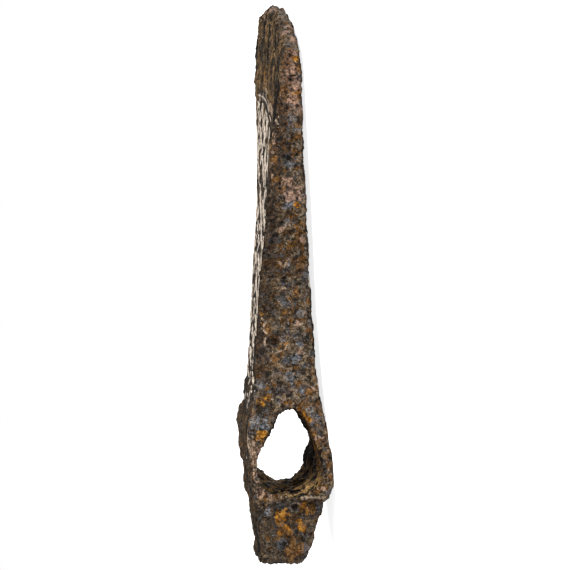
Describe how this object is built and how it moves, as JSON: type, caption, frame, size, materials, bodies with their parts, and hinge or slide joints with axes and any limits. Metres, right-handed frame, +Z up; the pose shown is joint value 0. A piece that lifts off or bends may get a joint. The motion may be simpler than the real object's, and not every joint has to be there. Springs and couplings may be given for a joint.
{
  "type": "axe head",
  "caption": "Slim bearded iron axe head with a lugged egg-shaped haft eye and a square hammer poll, rusted, with worn silver wire inlay on the cheeks.",
  "frame": {"origin": "middle of the bounding box's underside, on the surface that the head lies on", "axes": "+X from the hammer poll to the cutting edge; -Y the toe side, +Y the heel side with the beard; +Z up, out of the decorated cheek"},
  "size_m": [0.1716, 0.075, 0.0264],
  "materials": {
    "corroded_iron": "excavated wrought iron: blue-black and brown rust with ochre and pink-tan patches, pitted and layered, sealed with a satin conservation lacquer",
    "silver_inlay": "worn, tarnished silver wire hammered into the iron, dull beige-white"
  },
  "bodies": {
    "root": {"axe_head": "corroded_iron"}
  },
  "joints": []
}
